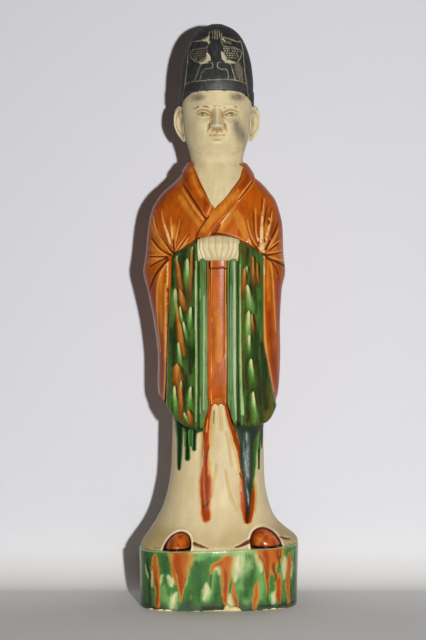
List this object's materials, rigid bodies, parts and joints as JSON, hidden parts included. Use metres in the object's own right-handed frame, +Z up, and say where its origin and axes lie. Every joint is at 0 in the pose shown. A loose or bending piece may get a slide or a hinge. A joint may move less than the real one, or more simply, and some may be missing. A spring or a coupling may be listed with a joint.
{
  "type": "tang tomb attendant figure",
  "caption": "Standing ceramic attendant in a tall cap and wide-sleeved robe, hands clasped at the waist, on a rounded plinth.",
  "frame": {"origin": "middle of the plinth's underside, on the surface that the figure stands on", "axes": "+Z up, along the figure's height; -Y is the way the figure faces; +X to the right of someone facing it"},
  "size_m": [0.2192, 0.1624, 0.8],
  "materials": {
    "glazed_earthenware": "three-colour lead glaze in amber, green and cream, glossy, with runs",
    "bare_clay": "unglazed buff earthenware, matt, with faint stains",
    "black_pigment": "cold-painted black on bare clay, matt, with cream lines cut through it"
  },
  "bodies": {
    "root": {"attendant_figure": "glazed_earthenware"}
  },
  "joints": []
}
